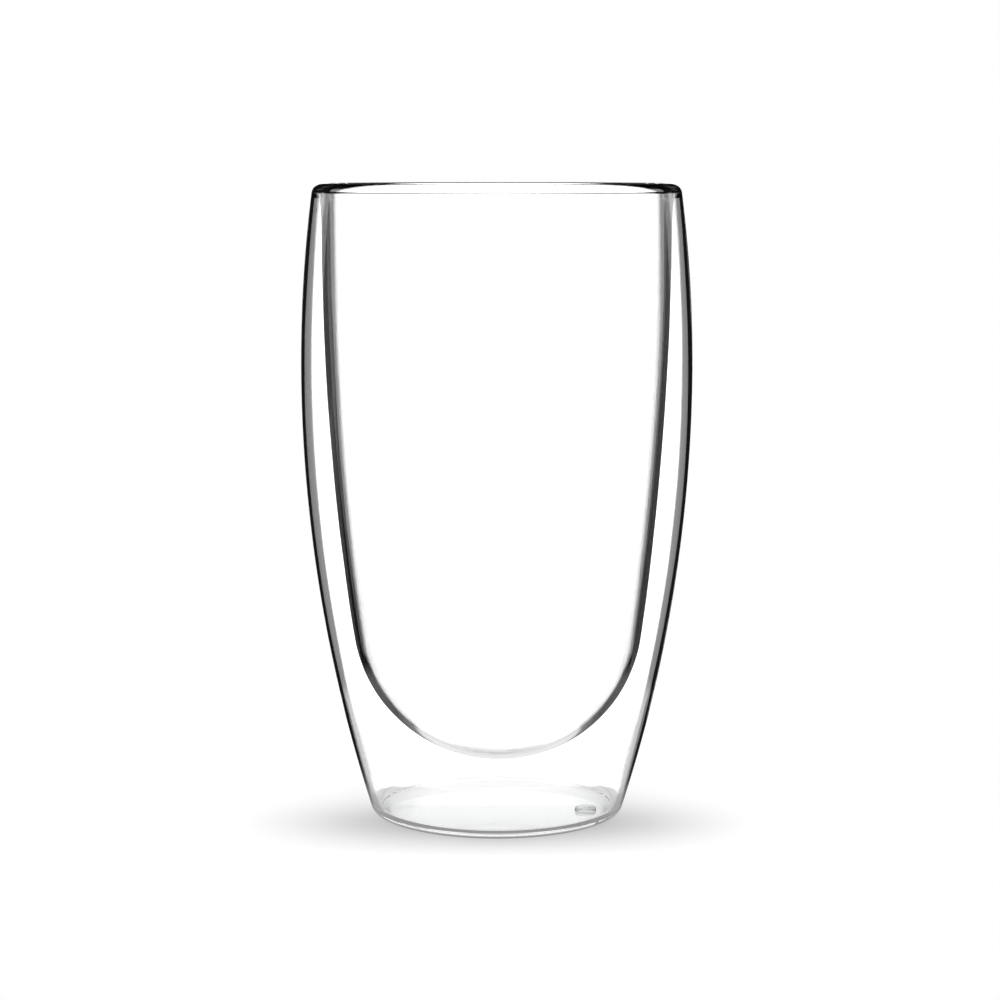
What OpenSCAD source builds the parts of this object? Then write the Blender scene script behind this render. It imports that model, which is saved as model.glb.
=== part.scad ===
// Double walled glass cup: a barrel shaped outer shell, a round bottomed liner hung inside it from
// one fused rim, and a soft plug in the vent hole of the base.
// The origin is the middle of the resting ring, on the table. +Z points up.

/* [Outer shell] */
// Height from the table to the crown of the rim
cup_h = 145; // [125:1:180]
// Outside diameter of the shell at its widest
belly_d = 89.4; // [84:0.2:104]
// Height of the widest place above the table
belly_h = 102; // [75:1:118]
// How far the wall leans in from its widest place to the rim joint, measured on the radius
rim_tuck = 2.6; // [1.5:0.1:4]
// Outside diameter of the foot, where the line of the wall would meet the table
foot_d = 57.8; // [50:0.2:70]
// Radius of the outer corner between wall and underside
foot_round = 2; // [1:0.1:4]
// Wall of the shell at its widest place
shell_wall = 2.2; // [1.5:0.1:2.8]
// Wall of the shell just above the foot
shell_foot_wall = 1.7; // [1.2:0.1:3]
// Thickness of the floor over the resting ring
floor_t = 1.8; // [1.3:0.1:4]
// Radius of the inner corner between wall and floor
floor_round = 3; // [1.5:0.1:4]
// Width of the flat ring that the cup stands on
ring_w = 3; // [1.5:0.1:6]
// Rise of the shallow dish inside that ring
dish_rise = 0.5; // [0.2:0.1:0.9]

/* [Rim] */
// Height of the solid fused rim, from the wall ends to its crown
rim_h = 3.4; // [3:0.1:7]
// Radius of the rounded crown, half the width of the rim
crown_r = 2.45; // [2.3:0.05:2.9]
// Width of the air gap between the two walls at the rim joint
rim_gap = 0.7; // [0.6:0.1:1.1]
// How far the air gap runs on above the joint, as a narrowing groove in the rim
gap_rise = 1.7; // [1:0.1:1.9]
// Radius of the round end of that groove
gap_tip_r = 0.25; // [0.15:0.05:0.3]

/* [Liner] */
// Wall of the liner near its top, below the flare
liner_top_wall = 2.5; // [1.6:0.1:2.6]
// How much the outside of the liner flares out to the rim joint, on the radius
liner_flare = 0.4; // [0.2:0.1:0.6]
// Height of that flare, down from the joint
flare_h = 14; // [8:1:24]
// Wall of the liner where its side runs into the round bottom
liner_wall = 1.9; // [1.2:0.1:2.8]
// Wall of the liner at its lowest point, where the blown glass is thinnest
liner_bottom_wall = 1.3; // [1.2:0.1:2.8]
// Outside radius of the round bottom
liner_dome_r = 33.5; // [29:0.5:34]
// Radius of the long curve of the liner's side
liner_side_r = 580; // [420:10:900]
// Air gap between the lowest point of the liner and the floor of the shell
under_gap = 11; // [6:0.5:20]
// Diameter of the small nib left under the liner by the glass blower
nib_d = 1.6; // [1:0.1:3]
// How far the nib stands proud of the round bottom
nib_proud = 0.4; // [0.2:0.1:0.8]
// Distance of the nib from the axis
nib_offset = 3.4; // [0:0.1:8]

/* [Vent] */
// Diameter of the vent hole through the floor
vent_d = 4; // [3:0.1:5]
// Distance of the vent hole from the axis
vent_offset = 21.5; // [8:0.5:21.5]
// Direction of the vent hole and the nib round the axis, in degrees
vent_angle = -19; // [-90:1:90]
// Clearance between the plug's stem and the hole, on the radius
plug_fit = 0.05; // [0.02:0.01:0.1]
// How much wider than the hole the plug's head is, on the radius
head_lap = 0.6; // [0.4:0.1:0.8]
// Height of the plug's head above the floor
head_h = 1; // [0.7:0.1:2]
// Rounding of the head's upper edge
head_round = 0.4; // [0.2:0.1:0.5]
// Depth of the hollow in the head
head_hollow = 0.5; // [0.2:0.1:0.6]
// Wall of the head round its hollow
head_wall = 1; // [0.8:0.1:1.2]
// How far the stem ends above the bottom of the hole
stem_recess = 0.3; // [0.1:0.1:0.6]

/* [Hidden] */
$fn = 180;

// Straight pieces that stand for a long curve, a short curve and a fillet
long_steps = 28;
dome_steps = 36;
fillet_steps = 12;

// Points on an arc, from one angle to another
function arc(centre, r, from, to, steps) =
    [for (i = [0:steps]) let (a = from + (to - from) * i / steps) centre + r * [cos(a), sin(a)]];

// Direction from one point to another
function heading(p, q) = atan2(q.y - p.y, q.x - p.x);

// Radius of the arc that leaves a vertical tangent and gains dr on the radius over a height dz
function side_r(dz, dr) = (dz * dz + dr * dr) / (2 * dr);

// Radius out from the axis of a circle, at height z
function reach(centre, r, z) = centre.x + sqrt(r * r - pow(z - centre.y, 2));

// The point at distance a from p and b from q, on the left of the line from p to q
function meet(p, a, q, b) =
    let (
        l = norm(q - p),
        turn = acos((a * a + l * l - b * b) / (2 * a * l)),
        dir = heading(p, q) + turn
    ) p + a * [cos(dir), sin(dir)];

joint_z = cup_h - rim_h;
belly_r = belly_d / 2;
foot_r = foot_d / 2;

// Outside of the shell: one arc above the widest place and one below it
top_r = side_r(joint_z - belly_h, rim_tuck);
top_c = [belly_r - top_r, belly_h];
low_r = side_r(belly_h, belly_r - foot_r);
low_c = [belly_r - low_r, belly_h];

// Corner between the outside and the table, touching both
foot_c = [reach(low_c, low_r - foot_round, foot_round), foot_round];
foot_turn = heading(low_c, foot_c);

// Crown of the rim, touching the upper arc from inside
crown_c = [reach(top_c, top_r - crown_r, cup_h - crown_r), cup_h - crown_r];
crown_turn = heading(top_c, crown_c);

// Liner: round bottom, inside and outside, with both centres on the axis
dome_c = [0, floor_t + under_gap + liner_dome_r];
bore_dome_r = liner_dome_r - liner_wall;
bore_dome_c = dome_c - [0, liner_wall - liner_bottom_wall];

// Inside of the liner's side touches the round bottom below and the crown above
bore_c = meet(bore_dome_c, liner_side_r - bore_dome_r, crown_c, liner_side_r + crown_r);
bore_top_r = reach(bore_c, liner_side_r, joint_z);

// Outside of the liner's side touches the round bottom and would reach the joint at this radius
side_top_r = bore_top_r + liner_top_wall;
side_c = meet(dome_c, liner_side_r - liner_dome_r, [side_top_r, joint_z], liner_side_r);

// Flare: from an upright tangent below the joint, bending out to the joint
flare_z = joint_z - flare_h;
flare_from_r = reach(side_c, liner_side_r, flare_z);
liner_top_r = side_top_r + liner_flare;
flare_gain = liner_top_r - flare_from_r;
flare_r = side_r(flare_h, flare_gain);
flare_c = [flare_from_r + flare_r, flare_z];
// An arc turns by twice the slope of its chord, outwards or inwards
flare_turn = 180 - 2 * atan(flare_gain / flare_h);

// Inside of the shell: the same two arcs, set in by the wall and the air gap
cavity_r = belly_r - shell_wall;
cavity_top_r = liner_top_r + rim_gap;
cavity_foot_r = foot_r - shell_foot_wall;
in_top_r = side_r(joint_z - belly_h, cavity_r - cavity_top_r);
in_top_c = [cavity_r - in_top_r, belly_h];
in_low_r = side_r(belly_h, cavity_r - cavity_foot_r);
in_low_c = [cavity_r - in_low_r, belly_h];
floor_c = [reach(in_low_c, in_low_r - floor_round, floor_t + floor_round), floor_t + floor_round];
floor_turn = heading(in_low_c, floor_c);

// Dish under the floor, a shallow arc across the resting ring's inner edge
dish_edge = foot_c.x - ring_w;
dish_r = side_r(dish_edge, dish_rise);
dish_c = [0, dish_rise - dish_r];

vent_at = vent_offset * [cos(vent_angle), sin(vent_angle)];
nib_at = nib_offset * [cos(vent_angle), sin(vent_angle)];
vent_r = vent_d / 2;
head_r = vent_r + head_lap;
stem_z = dish_rise + stem_recess;
// Length that a cut runs past the solid it cuts
past = 1;

// Outer shell: barrel wall and dished floor, open at the top, drilled for the vent
module outer_shell() {
    color([0.80, 0.88, 0.90, 0.35])
    difference() {
        rotate_extrude()
            polygon(concat(
                arc(dish_c, dish_r, 90, heading(dish_c, [dish_edge, 0]), fillet_steps),
                arc(foot_c, foot_round, -90, foot_turn, fillet_steps),
                arc(low_c, low_r, foot_turn, 0, long_steps),
                arc(top_c, top_r, 0, heading(top_c, [belly_r - rim_tuck, joint_z]), long_steps),
                arc(in_top_c, in_top_r, heading(in_top_c, [cavity_top_r, joint_z]), 0, long_steps),
                arc(in_low_c, in_low_r, 0, floor_turn, long_steps),
                arc(floor_c, floor_round, floor_turn, -90, fillet_steps),
                [[0, floor_t]]
            ));
        translate([vent_at.x, vent_at.y, -past])
            cylinder(h = floor_t + 2 * past, r = vent_r, $fn = 48);
    }
}

// Inner liner: long curved side and round bottom, with the glass blower's nib under it
module inner_liner() {
    bore_start = heading(bore_c, [bore_top_r, joint_z]);
    bore_end = heading(bore_c, bore_dome_c);
    side_start = heading(side_c, [flare_from_r, flare_z]);
    side_end = heading(side_c, dome_c);
    nib_r = nib_d / 2;
    nib_z = dome_c.y - sqrt(pow(liner_dome_r, 2) - pow(nib_offset, 2)) + nib_r - nib_proud;
    color([0.86, 0.92, 0.94, 0.35]) {
        rotate_extrude()
            polygon(concat(
                arc(dome_c, liner_dome_r, -90, side_end, dome_steps),
                arc(side_c, liner_side_r, side_end, side_start, long_steps),
                arc(flare_c, flare_r, 180, flare_turn, fillet_steps),
                arc(bore_c, liner_side_r, bore_start, bore_end, long_steps),
                arc(bore_dome_c, bore_dome_r, bore_end, -90, dome_steps)
            ));
        translate([nib_at.x, nib_at.y, nib_z])
            sphere(r = nib_r, $fn = 32);
    }
}

// Fused rim: sits on both wall ends, rounds over to the crown and closes the air gap in a groove
module rim_weld() {
    tip_c = [liner_top_r + rim_gap / 2, joint_z + gap_rise - gap_tip_r];
    color([0.70, 0.78, 0.80, 0.5])
    rotate_extrude()
        polygon(concat(
            [[liner_top_r, joint_z]],
            arc(tip_c, gap_tip_r, 180, 0, fillet_steps),
            [[cavity_top_r, joint_z]],
            arc(top_c, top_r, heading(top_c, [belly_r - rim_tuck, joint_z]), crown_turn, fillet_steps),
            arc(crown_c, crown_r, crown_turn, 180 + heading(bore_c, crown_c), dome_steps),
            arc(bore_c, liner_side_r, heading(bore_c, crown_c),
                heading(bore_c, [bore_top_r, joint_z]), fillet_steps)
        ));
}

// Vent plug: a soft stem in the vent hole with a round hollowed head on the shell's floor
module vent_plug() {
    stem_r = vent_r - plug_fit;
    head_z = floor_t + head_h;
    color([0.93, 0.95, 0.96])
    translate([vent_at.x, vent_at.y, 0])
        rotate_extrude($fn = 64)
            polygon(concat(
                [[0, stem_z], [stem_r, stem_z], [stem_r, floor_t], [head_r, floor_t]],
                arc([head_r - head_round, head_z - head_round], head_round, 0, 90, fillet_steps),
                [[head_r - head_wall, head_z], [head_r - head_wall, head_z - head_hollow],
                    [0, head_z - head_hollow]]
            ));
}

outer_shell();
inner_liner();
rim_weld();
vent_plug();
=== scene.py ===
import math
import types

import bmesh
import bpy
import numpy as np
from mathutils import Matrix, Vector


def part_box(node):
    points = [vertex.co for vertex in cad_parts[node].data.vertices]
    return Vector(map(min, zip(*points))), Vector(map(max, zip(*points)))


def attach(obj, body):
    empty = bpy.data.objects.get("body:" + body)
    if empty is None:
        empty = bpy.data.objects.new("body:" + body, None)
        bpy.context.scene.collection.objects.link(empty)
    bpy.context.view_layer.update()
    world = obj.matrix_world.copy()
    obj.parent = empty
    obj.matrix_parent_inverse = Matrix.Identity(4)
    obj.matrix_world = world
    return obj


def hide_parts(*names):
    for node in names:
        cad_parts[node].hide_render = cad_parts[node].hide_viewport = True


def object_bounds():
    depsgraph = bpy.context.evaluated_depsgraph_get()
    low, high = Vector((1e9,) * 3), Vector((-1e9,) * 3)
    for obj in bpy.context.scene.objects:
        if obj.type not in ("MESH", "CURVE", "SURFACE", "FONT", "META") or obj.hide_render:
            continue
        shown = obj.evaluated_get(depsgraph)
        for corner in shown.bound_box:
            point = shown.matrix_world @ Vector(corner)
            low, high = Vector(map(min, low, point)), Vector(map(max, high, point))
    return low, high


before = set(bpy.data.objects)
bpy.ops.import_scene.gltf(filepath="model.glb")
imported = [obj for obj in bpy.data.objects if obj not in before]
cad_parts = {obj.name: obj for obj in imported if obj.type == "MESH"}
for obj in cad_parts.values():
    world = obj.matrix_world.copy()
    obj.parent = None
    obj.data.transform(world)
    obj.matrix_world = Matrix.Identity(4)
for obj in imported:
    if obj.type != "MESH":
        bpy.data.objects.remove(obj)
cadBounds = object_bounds()
print("frame loaded:", sorted(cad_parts))

mm = 0.001
weldWithin = 1e-7      # metres between points that become one at a pole
sharpFrom = 35.0       # an edge that bends by more degrees than this stays sharp
shellLow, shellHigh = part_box("outer_shell")
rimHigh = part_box("rim_weld")[1]

# heights and widths that the frame gives, in millimetres
cupHeight = rimHigh.z / mm
jointHeight = shellHigh.z / mm
bellyRadius = (shellHigh.x - shellLow.x) / 2 / mm


def pointsAt(centre, radius, degrees):
    # centre plus radius times (cos a, sin a), for each angle a
    a = np.radians(degrees)
    return np.stack([centre[0] + radius * np.cos(a), centre[1] + radius * np.sin(a)], 1)


def arc(centre, radius, start, stop, count):
    # the same points, with the angle running evenly from start to stop
    return pointsAt(centre, radius, np.linspace(start, stop, count + 1))


def heading(p, q):
    # the direction from p to q, in degrees
    return math.degrees(math.atan2(q[1] - p[1], q[0] - p[0]))


def aimed(distance, degrees):
    # the point at this distance from the axis, so many degrees round from +X
    turn = math.radians(degrees)
    return distance * math.cos(turn), distance * math.sin(turn)


def sideArc(rise, gain):
    # radius of an arc that starts upright and gains this much on the radius over this rise
    return (rise * rise + gain * gain) / (2 * gain)


def reach(centre, radius, height):
    # how far out a circle is at this height
    return centre[0] + math.sqrt(radius ** 2 - (height - centre[1]) ** 2)


def meet(p, a, q, b):
    # the point at distance a from p and b from q, left of the line from p to q
    span = math.dist(p, q)
    turn = math.acos((a * a + span * span - b * b) / (2 * a * span))
    direction = math.radians(heading(p, q)) + turn
    return p[0] + a * math.cos(direction), p[1] + a * math.sin(direction)


def meshFromLoops(name, loops, closed, poles=False, marks=()):
    # loops has one row of points for each ring, in millimetres; quads join each ring to the next one.
    # closed also joins the last ring to the first. poles makes one point of each end ring on the axis.
    # marks are stretches of rings with another material: (first ring, last ring, material index).
    rings, around = loops.shape[:2]
    points = loops.reshape(-1, 3) * mm
    ring = np.arange(rings if closed else rings - 1)
    here, there = np.meshgrid(ring, np.arange(around), indexing="ij")
    nextRing = (here + 1) % rings
    nextStep = (there + 1) % around
    quads = np.stack([here * around + there, here * around + nextStep,
                      nextRing * around + nextStep, nextRing * around + there], -1)
    slots = np.zeros(len(ring), np.int32)
    for first, last, index in marks:
        slots[first:last] = index
    mesh = bpy.data.meshes.new(name)
    mesh.from_pydata(points.tolist(), [], quads.reshape(-1, 4).tolist())
    mesh.polygons.foreach_set("material_index", np.repeat(slots, around))
    if poles:
        shape = bmesh.new()
        shape.from_mesh(mesh)
        bmesh.ops.remove_doubles(shape, verts=shape.verts, dist=weldWithin)
        shape.to_mesh(mesh)
        shape.free()
    mesh.polygons.foreach_set("use_smooth", np.ones(len(mesh.polygons), bool))
    mesh.set_sharp_from_angle(angle=math.radians(sharpFrom))
    mesh.update()
    thing = bpy.data.objects.new(name, mesh)
    bpy.context.scene.collection.objects.link(thing)
    return thing


def spin(outline, around, wobble=None):
    # (radius, height) points turned about the axis: radius times (cos a, sin a) at that height.
    # wobble(a, height) is added to the radius first.
    angle = np.linspace(0, 2 * np.pi, around, endpoint=False)[None, :]
    r = outline[:, :1] + np.zeros_like(angle)
    z = outline[:, 1:] + np.zeros_like(angle)
    if wobble is not None:
        r = r + wobble(angle + np.zeros_like(r), z)
    return np.stack([r * np.cos(angle), r * np.sin(angle), z], -1)


def ventRings(edgeRadius, height, g):
    # Circles that shrink from the edge circle to the vent hole: centre and radius both move with t to
    # the power of ringCrowding, which sets the circles closer at the hole. height(r) gives each point's z.
    t = np.linspace(0, 1, g["ventRingCount"] + 1)[1:, None] ** g["ringCrowding"]
    angle = np.linspace(0, 2 * np.pi, g["around"], endpoint=False)[None, :]
    ventX, ventY = aimed(g["ventOffset"], g["ventAngle"])
    r = edgeRadius + (g["ventRadius"] - edgeRadius) * t
    x = ventX * t + r * np.cos(angle)
    y = ventY * t + r * np.sin(angle)
    return np.stack([x, y, height(np.hypot(x, y))], -1)


def wave(seed, amount, low, high, lower=0.0):
    # Slow swell of a hand blown wall, added to the radius: amount times the sum of three cosines with
    # two, three and five lobes round the cup, less lower, times a sine of the height to the power 0.7
    # that dies out at low and high. The second and third cosine twist with the height, by one radian
    # in 31 and in 19 millimetres.
    def swell(angle, z):
        t = np.clip((z - low) / (high - low), 0, 1)
        fade = np.sin(np.pi * t) ** 0.7
        twoLobes = np.cos(2 * angle + seed)
        threeLobes = np.cos(3 * angle - 2.3 * seed + z / 31)
        fiveLobes = np.cos(5 * angle + 1.7 * seed - z / 19)
        return amount * fade * (twoLobes + 0.6 * threeLobes + 0.35 * fiveLobes - lower)
    return swell


# Outer shell, in millimetres and degrees. shellWave goes inward only, because its lower is more than its
# cosines can add up to, so the widest place stays as wide as the solid's.
shellSizes = dict(
    bellyHeight=102.0, rimTuck=2.6, footRadius=28.9, footRound=2.0,
    shellWall=2.2, shellFootWall=1.7, floor=1.4, floorRound=2.0, ringWidth=3.0, dishRise=0.5,
    ventRadius=2.0, ventOffset=21.5, ventAngle=-19.0,
    shellWave=dict(seed=0.4, amount=0.025, low=6.0, lower=2.0),
    cavityWave=dict(seed=1.9, amount=0.04, low=8.0, lower=1.25),
    around=360,            # points round the cup
    lowSteps=70, cavitySteps=64, topSteps=32, cornerSteps=14,      # steps of each arc
    ventRingCount=20, ringCrowding=0.8, holeSteps=4,
)


def makeShell(g, c):
    # Arcs that touch one another, from the resting ring up the outside and down the inside to the floor,
    # are spun about the axis. Circles that shrink to the vent hole close the floor and the underside.
    footTurn = heading(c.lowC, c.footC)
    topTurn = heading(c.topC, c.joint)
    outer = np.concatenate([
        arc(c.footC, g["footRound"], -90, footTurn, g["cornerSteps"]),
        arc(c.lowC, c.lowR, footTurn, 0, g["lowSteps"])[1:],
        arc(c.topC, c.topR, 0, topTurn, g["topSteps"])[1:],
    ])
    floorTurn = heading(c.inLowC, c.floorC)
    cavityTurn = heading(c.inTopC, (c.cavityTop, jointHeight))
    inner = np.concatenate([
        arc(c.inTopC, c.inTopR, cavityTurn, 0, g["topSteps"]),
        arc(c.inLowC, c.inLowR, 0, floorTurn, g["cavitySteps"])[1:],
        arc(c.floorC, g["floorRound"], floorTurn, -90, g["cornerSteps"])[1:],
    ])

    def dish(r):
        # a shallow ball cap: root of (its radius squared less r squared), less that radius, plus the rise
        return np.sqrt(np.maximum(c.dishR ** 2 - r ** 2, 0)) - (c.dishR - g["dishRise"])

    def level(r):
        return r * 0 + g["floor"]

    underRings = ventRings(c.dishEdge, dish, g)[::-1]
    floorRings = ventRings(c.floorC[0], level, g)
    down = np.linspace(0, 1, g["holeSteps"] + 1)[1:-1, None, None]
    hole = floorRings[-1] + (underRings[0] - floorRings[-1]) * down
    ringInner = spin(np.array([[c.dishEdge, 0.0]]), g["around"])
    outside = spin(outer, g["around"], wave(high=jointHeight, **g["shellWave"]))
    inside = spin(inner, g["around"], wave(high=jointHeight, **g["cavityWave"]))
    loops = np.concatenate([underRings, ringInner, outside, inside, floorRings, hole])
    jointRow = len(underRings) + len(ringInner) + len(outside) - 1
    return meshFromLoops("shellGlass", loops, True, marks=[(jointRow, jointRow + 1, 1)])


# Inner liner. lean is how far its bottom hangs to +X, and a domeCrowding above 1 sets the rings of the
# round bottom closer at the nib.
linerSizes = dict(
    linerTopWall=2.5, linerWall=1.9, bottomWall=1.3, domeRadius=33.5, sideRadius=580.0,
    flare=0.4, flareHeight=14.0, underGap=11.4, lean=0.7,
    nibOffset=3.4, nibProud=0.4, nibWidth=0.8,
    linerWave=dict(seed=2.6, amount=0.06, low=30.0),
    boreWave=dict(seed=3.9, amount=0.07, low=32.0),
    domeSteps=70, domeCrowding=1.35, sideSteps=66, flareSteps=16, boreDomeSteps=50,
)


def makeLiner(g, c):
    # Arcs that touch one another, spun about the axis: round bottom, side and flare on the outside, then
    # bore and round bottom on the inside.
    sideEnd = heading(c.sideC, c.domeC)
    sideTurn = heading(c.sideC, (c.flareFrom, c.flareZ))
    even = np.linspace(0, 1, g["domeSteps"] + 1)
    outer = np.concatenate([
        pointsAt(c.domeC, g["domeRadius"], -90 + (sideEnd + 90) * even ** g["domeCrowding"]),
        arc(c.sideC, g["sideRadius"], sideEnd, sideTurn, g["sideSteps"])[1:],
        arc(c.flareC, c.flareR, 180, c.flareTurn, g["flareSteps"])[1:],
    ])
    boreTurn = heading(c.boreC, (c.boreTop, jointHeight))
    boreEnd = heading(c.boreC, c.boreDomeC)
    inner = np.concatenate([
        arc(c.boreC, g["sideRadius"], boreTurn, boreEnd, g["sideSteps"]),
        arc(c.boreDomeC, c.boreDome, boreEnd, -90, g["boreDomeSteps"])[1:],
    ])
    outer[0, 0] = inner[-1, 0] = 0      # both poles lie on the axis
    outside = spin(outer, g["around"], wave(high=jointHeight, **g["linerWave"]))
    inside = spin(inner, g["around"], wave(high=jointHeight, **g["boreWave"]))
    # the nib: nibProud times e to the minus (distance over nibWidth) to the fourth, taken off the height
    nibX, nibY = aimed(g["nibOffset"], g["ventAngle"])
    apart = np.hypot(outside[..., 0] - nibX, outside[..., 1] - nibY)
    low = outside[..., 2] < c.domeC[1]
    outside[..., 2] -= low * g["nibProud"] * np.exp(-(apart / g["nibWidth"]) ** 4)
    loops = np.concatenate([outside, inside])
    # the blown bottom hangs to one side: a shift that grows with the square of the depth under the belly
    depth = np.clip(1 - loops[..., 2] / g["bellyHeight"], 0, 1)
    loops[..., 0] += g["lean"] * depth ** 2
    jointRow = len(outer) - 1
    return meshFromLoops("linerGlass", loops, False, True, [(jointRow, jointRow + 1, 1)])


# fused rim; gapRise is how far the air gap runs on above the joint, gapTip the radius of its round end
rimSizes = dict(crown=2.45, rimGap=0.7, gapRise=1.35, gapTip=0.35, tipSteps=24, crownSteps=60, bandSteps=6)


def makeRim(g, c):
    # a groove with a half circle for its end, then arcs over the crown, spun about the axis
    tip = (c.linerTop + g["rimGap"] / 2, jointHeight + g["gapRise"] - g["gapTip"])
    groove = np.concatenate([
        [(c.linerTop, jointHeight)],
        arc(tip, g["gapTip"], 180, 0, g["tipSteps"]),
        [(c.cavityTop, jointHeight)],
    ])
    crownTurn = heading(c.topC, c.crownC)
    boreTurn = heading(c.boreC, c.crownC)
    boreEnd = heading(c.boreC, (c.boreTop, jointHeight))
    outline = np.concatenate([
        groove,
        arc(c.topC, c.topR, heading(c.topC, c.joint), crownTurn, g["bandSteps"]),
        arc(c.crownC, g["crown"], crownTurn, 180 + boreTurn, g["crownSteps"])[1:],
        arc(c.boreC, g["sideRadius"], boreTurn, boreEnd, g["bandSteps"])[1:],
    ])
    marks = [(len(groove) - 1, len(groove), 1), (len(outline) - 1, len(outline), 1)]
    return meshFromLoops("rimGlass", spin(outline, g["around"]), True, marks=marks)


# vent plug; its floor, place and dish come from the shell
plugSizes = dict(
    stem=1.95, stemRound=0.15, recess=0.3,
    head=2.45, headHeight=0.8, headRound=0.3, headFoot=0.08, headWall=0.7, lipRound=0.12, hollow=0.55,
    around=96, headSteps=10, cornerSteps=4, footSteps=3,
)


def makePlug(p, g):
    # stem, head and hollow as straight lines with quarter circles for corners, spun and moved to the vent
    top = g["floor"] + p["headHeight"]
    stemZ = g["dishRise"] + p["recess"]
    lip = p["head"] - p["headWall"]
    stemIn = p["stem"] - p["stemRound"]
    footIn = p["head"] - p["headFoot"]
    headC = (p["head"] - p["headRound"], top - p["headRound"])
    outline = np.concatenate([
        [(0, stemZ), (stemIn, stemZ)],
        arc((stemIn, stemZ + p["stemRound"]), p["stemRound"], -90, 0, p["cornerSteps"])[1:],
        [(p["stem"], g["floor"]), (footIn, g["floor"])],
        arc((footIn, g["floor"] + p["headFoot"]), p["headFoot"], -90, 0, p["footSteps"])[1:],
        arc(headC, p["headRound"], 0, 90, p["headSteps"]),
        arc((lip, top - p["lipRound"]), p["lipRound"], 90, 180, p["cornerSteps"]),
        [(lip - p["lipRound"], top - p["hollow"]), (0, top - p["hollow"])],
    ])
    loops = spin(outline, p["around"])
    ventX, ventY = aimed(g["ventOffset"], g["ventAngle"])
    loops += (ventX, ventY, 0)
    return meshFromLoops("ventSeal", loops, False, True)


def outlines(g):
    # Every arc of the glass walls, worked out from the sizes. A name that ends in C is the centre of an
    # arc as (radius, height), and one that ends in R is its radius.
    rise = jointHeight - g["bellyHeight"]
    joint = (bellyRadius - g["rimTuck"], jointHeight)
    # outside of the shell, its foot corner and the crown
    topR = sideArc(rise, g["rimTuck"])
    topC = (bellyRadius - topR, g["bellyHeight"])
    lowR = sideArc(g["bellyHeight"], bellyRadius - g["footRadius"])
    lowC = (bellyRadius - lowR, g["bellyHeight"])
    footC = (reach(lowC, lowR - g["footRound"], g["footRound"]), g["footRound"])
    crownZ = cupHeight - g["crown"]
    crownC = (reach(topC, topR - g["crown"], crownZ), crownZ)
    # liner: both round bottoms, the bore that touches the crown, the outer side and the flare
    domeC = (0.0, g["floor"] + g["underGap"] + g["domeRadius"])
    boreDome = g["domeRadius"] - g["linerWall"]
    boreDomeC = (0.0, domeC[1] - g["linerWall"] + g["bottomWall"])
    side = g["sideRadius"]
    boreC = meet(boreDomeC, side - boreDome, crownC, side + g["crown"])
    boreTop = reach(boreC, side, jointHeight)
    sideTop = boreTop + g["linerTopWall"]
    sideC = meet(domeC, side - g["domeRadius"], (sideTop, jointHeight), side)
    flareZ = jointHeight - g["flareHeight"]
    flareFrom = reach(sideC, side, flareZ)
    linerTop = sideTop + g["flare"]
    flareR = sideArc(g["flareHeight"], linerTop - flareFrom)
    flareC = (flareFrom + flareR, flareZ)
    flareTurn = 180 - 2 * math.degrees(math.atan((linerTop - flareFrom) / g["flareHeight"]))
    # inside of the shell, set in by the walls and the air gap, its floor corner and the dish
    cavity = bellyRadius - g["shellWall"]
    cavityTop = linerTop + g["rimGap"]
    inTopR = sideArc(rise, cavity - cavityTop)
    inTopC = (cavity - inTopR, g["bellyHeight"])
    inLowR = sideArc(g["bellyHeight"], cavity - (g["footRadius"] - g["shellFootWall"]))
    inLowC = (cavity - inLowR, g["bellyHeight"])
    floorZ = g["floor"] + g["floorRound"]
    floorC = (reach(inLowC, inLowR - g["floorRound"], floorZ), floorZ)
    dishEdge = footC[0] - g["ringWidth"]
    dishR = sideArc(dishEdge, g["dishRise"])
    return types.SimpleNamespace(**locals())


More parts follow.
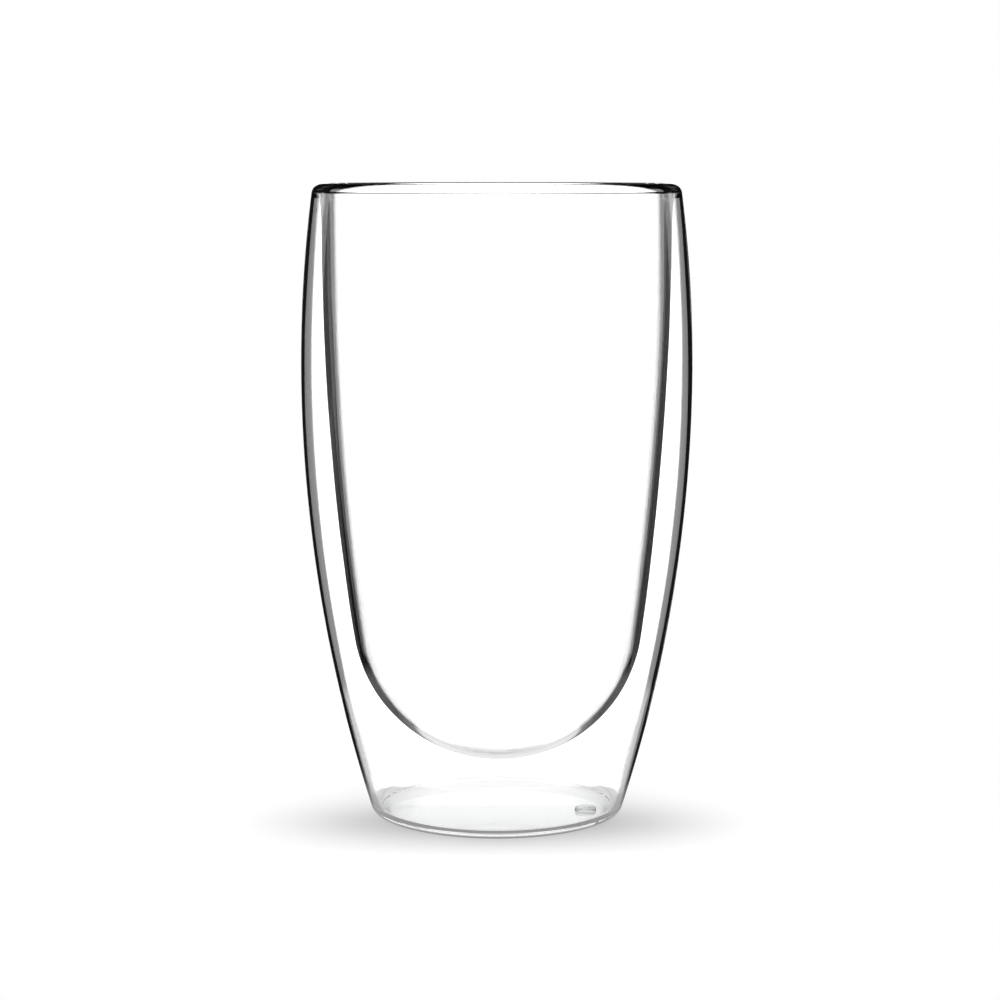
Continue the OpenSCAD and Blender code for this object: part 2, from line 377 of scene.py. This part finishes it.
class Wire:
    # one socket of a node tree; sums and products on it add Math nodes
    def __init__(self, tree, socket=None):
        self.tree = tree
        self.socket = socket

    def put(self, kind, settings=None, sockets=None, out=0):
        node = self.tree.nodes.new(kind)
        for key, value in (settings or {}).items():
            setattr(node, key, value)
        for key, value in (sockets or {}).items():
            if isinstance(value, Wire):
                self.tree.links.new(value.socket, node.inputs[key])
            else:
                node.inputs[key].default_value = value
        return Wire(self.tree, node.outputs[out] if len(node.outputs) else None)

    def outputs(self, *keys):
        # other sockets of the node that this one belongs to
        return [Wire(self.tree, self.socket.node.outputs[key]) for key in keys]

    def maths(self, operation, *values):
        return self.put("ShaderNodeMath", {"operation": operation}, dict(enumerate(values)))

    def __add__(self, other):
        return self.maths("ADD", self, other)

    def __radd__(self, other):
        return self.maths("ADD", other, self)

    def __sub__(self, other):
        return self.maths("SUBTRACT", self, other)

    def __rsub__(self, other):
        return self.maths("SUBTRACT", other, self)

    def __mul__(self, other):
        return self.maths("MULTIPLY", self, other)

    def __rmul__(self, other):
        return self.maths("MULTIPLY", other, self)

    def __truediv__(self, other):
        return self.maths("DIVIDE", self, other)

    def __pow__(self, other):
        return self.maths("POWER", self, other)

    def __gt__(self, other):
        return self.maths("GREATER_THAN", self, other)

    def __lt__(self, other):
        return self.maths("LESS_THAN", self, other)

    def ramp(self, start, stop, low=0.0, high=1.0):
        # smooth step from low to high between start and stop
        return self.put("ShaderNodeMapRange", {"interpolation_type": "SMOOTHSTEP"},
                        {0: self, 1: start, 2: stop, 3: low, 4: high})

    def towards(self, other, share):
        # this value where share is 0, the other one where it is 1
        return self + share * (other - self)

    def glow(self, strength, tint=(1, 1, 1)):
        # emission that carries its strength in its colour
        colour = self.put("ShaderNodeVectorMath", {"operation": "SCALE"}, {0: tint, "Scale": strength})
        return self.put("ShaderNodeEmission", None, {"Color": colour})

    def shaders(self, share, first, second):
        # mix of two shaders: the first where share is 0, the second where it is 1
        return self.put("ShaderNodeMixShader", None, {0: share, 1: first, 2: second})


# The counts of a light path are whole numbers, so a test lies halfway between two of them.
# Light that has passed 2 faces of glass crossed the shell's wall, and after 4 the liner's wall too.
halfway = types.SimpleNamespace(one=0.5, two=1.5, three=2.5, four=3.5)


def lightPath(start, name):
    return start.put("ShaderNodeLightPath").outputs(name)[0]


def evenGrey(value):
    return (value, value, value, 1)


def newMaterial(name):
    material = bpy.data.materials.new(name)
    material.use_nodes = True
    material.node_tree.nodes.clear()
    return material, Wire(material.node_tree)


def finishMaterial(start, surface):
    start.put("ShaderNodeOutputMaterial", None, {"Surface": surface})


# Cords are the faint long streaks of drawn glass. The shadow values are how much light a wall lets by,
# face on and edge on. Under baseTop, in metres, a painted glow stands in for caught light: glowNear in
# front, glowFar behind.
glassLook = dict(
    colour=(0.998, 1.0, 0.999, 1), ior=1.473,
    cordScale=(60, 60, 14), cordDetail=2.0, cordSwell=0.1, cordDepth=0.0004,
    shadowFacing=0.85, shadowEdge=0.35, shadowBlend=0.35,
    turnedOnce=0.5, baseTop=0.0055, glowNear=0.3, glowFar=1.0, glowSoft=0.002,
)


def clearGlass(start, place, look):
    stretched = start.put("ShaderNodeMapping", None, {"Vector": place, "Scale": look["cordScale"]})
    cords = start.put("ShaderNodeTexNoise", None, {
        "Vector": stretched, "Scale": 1.0, "Detail": look["cordDetail"]})
    bump = start.put("ShaderNodeBump", None, {
        "Height": cords, "Strength": look["cordSwell"], "Distance": look["cordDepth"]})
    return start.put("ShaderNodeBsdfPrincipled", None, {
        "Base Color": look["colour"], "Roughness": 0.0, "IOR": look["ior"],
        "Transmission Weight": 1.0, "Normal": bump})


def glassShadow(start, look):
    edgeOn = start.put("ShaderNodeLayerWeight", None, {"Blend": look["shadowBlend"]}, out=1)
    middle = start.put("ShaderNodeBsdfTransparent", None, {"Color": evenGrey(look["shadowFacing"])})
    border = start.put("ShaderNodeBsdfTransparent", None, {"Color": evenGrey(look["shadowEdge"])})
    return start.shaders(edgeOn, middle, border)


def glassMaterial(name, look):
    material, start = newMaterial(name)
    place = start.put("ShaderNodeTexCoord", out=3)
    clear = clearGlass(start, place, look)
    glass = start.shaders(lightPath(start, "Is Shadow Ray"), clear, glassShadow(start, look))
    # painted glow: light reflected inside the base meets an even pale emission, standing in for light
    # caught between its faces
    y, z = start.put("ShaderNodeSeparateXYZ", None, {0: place}).outputs(1, 2)
    leak = start.glow(y.ramp(-look["glowSoft"], look["glowSoft"], look["glowNear"], look["glowFar"]))
    turns = lightPath(start, "Glossy Depth")
    caught = (turns > halfway.one) * look["turnedOnce"] + (turns > halfway.three)
    finishMaterial(start, start.shaders(caught * (z < look["baseTop"]), glass, leak))
    return material


def jointMaterial():
    # the same glass lies on both sides of a fused joint, so light goes straight through
    material, start = newMaterial("fusedJoint")
    finishMaterial(start, start.put("ShaderNodeBsdfTransparent"))
    return material


# cloudRough is what a fine cloud adds to the roughness of the silicone
siliconeLook = dict(colour=(0.95, 0.96, 0.96, 1), ior=1.41, clear=0.92,
                    smooth=0.04, cloudRough=0.1, cloudScale=900.0, cloudDetail=3.0)


def siliconeMaterial(look):
    material, start = newMaterial("clearSilicone")
    place = start.put("ShaderNodeTexCoord", out=3)
    cloud = start.put("ShaderNodeTexNoise", None, {
        "Vector": place, "Scale": look["cloudScale"], "Detail": look["cloudDetail"]})
    finishMaterial(start, start.put("ShaderNodeBsdfPrincipled", None, {
        "Base Color": look["colour"], "Roughness": cloud * look["cloudRough"] + look["smooth"],
        "IOR": look["ior"], "Transmission Weight": look["clear"]}))
    return material


glass = {**shellSizes, **linerSizes, **rimSizes}
arcs = outlines(glass)
shell = makeShell(glass, arcs)
liner = makeLiner(glass, arcs)
rim = makeRim(glass, arcs)
plug = makePlug(plugSizes, glass)
joint = jointMaterial()
for piece, node, slotName in ((shell, "outer_shell", "shell_glass"),
                              (liner, "inner_liner", "liner_glass"),
                              (rim, "rim_weld", "rim_glass")):
    piece.data.materials.append(glassMaterial(node + "Glass", glassLook))
    piece.data.materials.append(joint)
    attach(piece, "root")
    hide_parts(node)
plug.data.materials.append(siliconeMaterial(siliconeLook))
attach(plug, "root")
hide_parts("vent_plug")
print("glass pieces made:", [len(o.data.polygons) for o in (shell, liner, rim, plug)])

# how white the surroundings look through glass, and how dark a dark card is, in the floor and the world
whiteThrough = 2.4
darkCard = 0.01

# Floor, in metres but for its rings and drop. colour is the share that takes the shadow and white the
# even glow on top of it.
floorLook = dict(
    rings=(0.001, 50.0, 100.0, 200.0, 400.0), drop=0.05, around=96,      # millimetres
    colour=0.3, white=0.74, solidTo=0.075, goneBy=0.12,
    # the oval values shape a painted shadow round the foot, on top of the real shadow that colour takes
    ovalAt=-0.0135, ovalDepth=0.0125, ovalHalf=0.039, ovalSoft=0.009, ovalDark=0.46,
)
# the floor seen through glass, a white glow with painted shade at the base; lit is the share of it that
# keeps the real shadow
throughLook = dict(
    tint=(0.985, 0.992, 1.0), lit=0.25, edge=0.002,
    baseTo=0.034, baseGain=1.05, backEdge=0.0175, backGain=0.35,
    endsAt=-0.01, endsDepth=0.36, endsFrom=0.018, endsTo=0.029, endsGrey=0.5,
    frontFrom=-0.006, frontTo=-0.016, frontGrey=0.1,
    footFrom=0.027, footFade=-0.01, footEnd=0.005, footGrey=0.2,
)
# the floor as reflected and guided light meets it: a painted reflection that glows at set strengths
mirrorLook = dict(
    below=0.27, asideFrom=0.018, asideTo=0.045, goneFrom=0.1, goneBy=0.12,
    wedgeTurn=0.62, wedgeFrom=0.03, wedgeSoft=0.004, wedgeWhite=0.66,
)


def litFloor(start, aside, y, s):
    diffuse = start.put("ShaderNodeBsdfDiffuse", None, {"Color": evenGrey(s["colour"])})
    even = start.put("ShaderNodeEmission", None, {"Color": evenGrey(s["white"])})
    lit = start.put("ShaderNodeAddShader", None, {0: diffuse, 1: even})
    # Painted shadow, a soft dark oval round the foot that mixes black into the lit floor: one over (one
    # plus e to the distance past its half width, over ovalSoft) times a bell curve in depth.
    across = (start.maths("EXPONENT", (aside - s["ovalHalf"]) / s["ovalSoft"]) + 1) ** -1
    off = (y - s["ovalAt"]) / s["ovalDepth"]
    oval = across * start.maths("EXPONENT", off * off * -0.5)
    black = start.put("ShaderNodeBsdfDiffuse", None, {"Color": evenGrey(0)})
    return start.shaders(oval * s["ovalDark"], lit, black)


def floorBehindGlass(start, x, y, radius, s):
    # White, but for the base, where grey is painted shade for the shadow under the cup: it grows with the
    # distance from a point near the middle, counted less in depth than across, and stops at the back edge,
    # past which the floor is painted brighter, and the front and the foot add a little.
    depth = y - s["endsAt"]
    apart = (x * x + depth * depth * s["endsDepth"]) ** 0.5
    back = y.ramp(s["backEdge"] - s["edge"], s["backEdge"] + s["edge"])
    ends = apart.ramp(s["endsFrom"], s["endsTo"], 0, s["endsGrey"]) * (1 - back)
    front = y.ramp(s["frontFrom"], s["frontTo"], 0, s["frontGrey"])
    foot = radius.ramp(s["footFrom"], s["footFrom"] + s["edge"], 0, s["footGrey"])
    foot = foot * (1 - y.ramp(s["footFade"], s["footEnd"]))
    base = 1 - radius.ramp(s["baseTo"], s["baseTo"] + s["edge"])
    slab = s["baseGain"] * (1 - ends - front - foot) + back * s["backGain"]
    return start.glow(whiteThrough + base * (slab - whiteThrough), s["tint"])


def mirroredFloor(start, aside, y, s):
    # painted reflection: for guided light the floor glows dim grey below the cup, dark beside it, and pale
    # grey where it left well sideways
    beside = aside.ramp(s["asideFrom"], s["asideTo"])
    wedge = (aside - y * s["wedgeTurn"]).ramp(s["wedgeFrom"], s["wedgeFrom"] + s["wedgeSoft"])
    wedge = wedge * (lightPath(start, "Transmission Depth") < halfway.four)
    return start.glow(s["below"] * (1 - beside) + darkCard + beside * wedge * s["wedgeWhite"])


def floorMaterial(s, through, mirror):
    material, start = newMaterial("paleFloor")
    place = start.put("ShaderNodeTexCoord", out=3)
    x, y = start.put("ShaderNodeSeparateXYZ", None, {0: place}).outputs(0, 1)
    aside = start.maths("ABSOLUTE", x)
    radius = (x * x + y * y) ** 0.5
    reflected = lightPath(start, "Glossy Depth") > halfway.one
    seenThrough = lightPath(start, "Is Transmission Ray") * (1 - reflected)
    solid = start.shaders(seenThrough * (1 - through["lit"]), litFloor(start, aside, y, s),
                          floorBehindGlass(start, x, y, radius, through))
    solid = start.shaders(reflected, solid, mirroredFloor(start, aside, y, mirror))
    # the floor thins out round the cup, so that its edge doesn't show
    thin = radius.ramp(s["solidTo"], s["goneBy"])
    thin = thin.towards(radius.ramp(mirror["goneFrom"], mirror["goneBy"]), reflected)
    clear = start.put("ShaderNodeBsdfTransparent")
    finishMaterial(start, start.shaders(thin, solid, clear))
    return material


def makeFloor(s, through, mirror):
    # flat rings a hair under the resting ring, so that the two faces don't coincide
    outline = np.array([(ring, -s["drop"]) for ring in s["rings"]])
    floor = meshFromLoops("floor", spin(outline, s["around"]), False)
    floor.data.flip_normals()
    floor.data.materials.append(floorMaterial(s, through, mirror))


# What the world shows, in degrees: the window to light that goes straight through, the cards and walls to
# light that has been reflected. Widths that end in Soft are those of a soft edge.
roomLook = dict(
    ambient=0.45, windowLow=-50.0, windowHigh=30.0, windowSoft=6.0,
    card=23.0, grey=0.42, greyTo=37.5, sideWhite=1.4, edgeSoft=0.7,
    linerTurn=15.5, linerLow=-12.0, linerLift=10.0,
    outsideTo=41.5, outsideSoft=2.0, greyLow=-20.0, lowSoft=2.0, lowWhite=0.75,
    stray=0.8, behind=9.0, behindSoft=1.0,
    upFrom=5.0, upWhite=1.3, downFrom=-17.0, keptTo=-32.0, slopeSoft=3.0,
)
quarter = 90.0


def windowLight(elevation, s):
    # a white band that ends softly below and above
    above = elevation.ramp(s["windowLow"] - s["windowSoft"], s["windowLow"])
    below = 1 - elevation.ramp(s["windowHigh"], s["windowHigh"] + s["windowSoft"])
    return above * below * (whiteThrough - darkCard) + darkCard


def wallLight(start, azimuth, elevation, bounces, s):
    # By the angle off the nearest quarter of the circle: a black card, then a grey wall, then a white
    # one. Light that crossed the liner too is read further out.
    crossed = lightPath(start, "Transmission Depth")
    linerToo = crossed > halfway.four
    shellOnly = crossed < halfway.four
    # adding whole half turns keeps an angle above zero and changes nothing else
    turned = start.maths("PINGPONG", azimuth + 8 * quarter, quarter)
    side = start.maths("PINGPONG", turned, quarter / 2)
    read = start.maths("PINGPONG", turned - linerToo * s["linerTurn"] + 2 * quarter, quarter / 2)
    pastCard = read > s["card"]
    soft = s["edgeSoft"]
    whiteEnd = read.ramp(s["greyTo"] - soft, s["greyTo"] + soft, 0, s["sideWhite"] - s["grey"])
    whiteEnd = whiteEnd * (1 - linerToo * (elevation < s["linerLow"]))
    walls = read.ramp(s["card"] - soft, s["card"] + soft, darkCard, s["grey"]) + whiteEnd
    # low down the outer wall the grey gives way to near white
    low = shellOnly * pastCard * (1 - elevation.ramp(s["greyLow"] - s["lowSoft"], s["greyLow"]))
    walls = walls.towards(s["lowWhite"], low)
    # The outer face mirrors a wider card, light that was turned twice fades, and light that was turned
    # once meets white next to each quarter.
    soft = s["outsideSoft"]
    outside = side.ramp(s["outsideTo"] - soft, s["outsideTo"] + soft, darkCard, s["sideWhite"])
    walls = walls.towards(outside, crossed < halfway.one)
    walls = walls * (1 - (bounces > halfway.two) * s["stray"])
    soft = s["behindSoft"]
    ahead = (1 - side.ramp(s["behind"] - soft, s["behind"] + soft)) * (bounces < halfway.two)
    walls = walls.towards(s["sideWhite"], ahead)
    # light that the base sends up is white after the liner and dark before it, and what goes down is dark,
    # but for a stretch of the shell's own light
    up = (elevation - linerToo * s["linerLift"]).ramp(s["upFrom"], s["upFrom"] + s["slopeSoft"])
    walls = walls.towards(darkCard + linerToo * s["upWhite"], up)
    down = 1 - elevation.ramp(s["downFrom"] - s["slopeSoft"], s["downFrom"])
    kept = (crossed > halfway.two) * (crossed < halfway.three) * pastCard * (elevation > s["keptTo"])
    return walls * (1 - down * (1 - kept))


def makeWorld(s):
    world = bpy.data.worlds.new("studio")
    bpy.context.scene.world = world
    world.use_nodes = True
    world.node_tree.nodes.clear()
    start = Wire(world.node_tree)
    direction = start.put("ShaderNodeTexCoord", out=0)      # in a world, the direction of the ray
    x, y, z = start.put("ShaderNodeSeparateXYZ", None, {0: direction}).outputs(0, 1, 2)
    elevation = start.maths("ARCSINE", z) * math.degrees(1)
    azimuth = start.maths("ARCTAN2", x, y) * math.degrees(1)
    bounces = lightPath(start, "Glossy Depth")
    walls = wallLight(start, azimuth, elevation, bounces, s)
    seen = windowLight(elevation, s).towards(walls, bounces > halfway.one)
    seen = seen.towards(s["ambient"], lightPath(start, "Diffuse Depth") > halfway.one)
    seen = seen.towards(1, lightPath(start, "Is Camera Ray"))      # the white background
    back = start.put("ShaderNodeBackground", None, {"Color": (1, 1, 1, 1), "Strength": seen})
    start.put("ShaderNodeOutputWorld", None, {"Surface": back})


# strip light over the cup, in watts and metres
lampLook = dict(power=14.0, size=(1.6, 0.35), height=1.1)


def makeLamp(s):
    light = bpy.data.lights.new("stripLight", "AREA")
    light.shape = "RECTANGLE"
    light.size, light.size_y = s["size"]
    light.energy = s["power"]
    lamp = bpy.data.objects.new("stripLight", light)
    lamp.location = (0, 0, s["height"])
    lamp.visible_glossy = False
    lamp.visible_transmission = False
    lamp.visible_camera = False
    bpy.context.scene.collection.objects.link(lamp)


# The camera stands at the photograph's height, distance and tilt, in metres and degrees. Its sensor is
# in millimetres.
view = dict(distance=0.565, height=0.14807, sideways=0.00072, tilt=7.612,
            sensor=36.0, focalPixels=2473.9, framePixels=1000.0)


def makeCamera(v):
    camera = bpy.data.cameras.new("camera")
    camera.sensor_width = v["sensor"]
    camera.lens = v["sensor"] * v["focalPixels"] / v["framePixels"]
    holder = bpy.data.objects.new("camera", camera)
    holder.location = (v["sideways"], -v["distance"], v["height"])
    holder.rotation_euler = (math.radians(90 - v["tilt"]), 0, 0)
    bpy.context.scene.collection.objects.link(holder)
    bpy.context.scene.camera = holder


makeFloor(floorLook, throughLook, mirrorLook)
makeWorld(roomLook)
makeLamp(lampLook)
makeCamera(view)
scene = bpy.context.scene
scene.view_settings.view_transform = "Standard"
# light passes many faces of glass before it leaves the cup
scene.cycles.max_bounces = 40
scene.cycles.transmission_bounces = 40
scene.cycles.glossy_bounces = 24
scene.cycles.transparent_max_bounces = 24
print("stage, light and camera set")
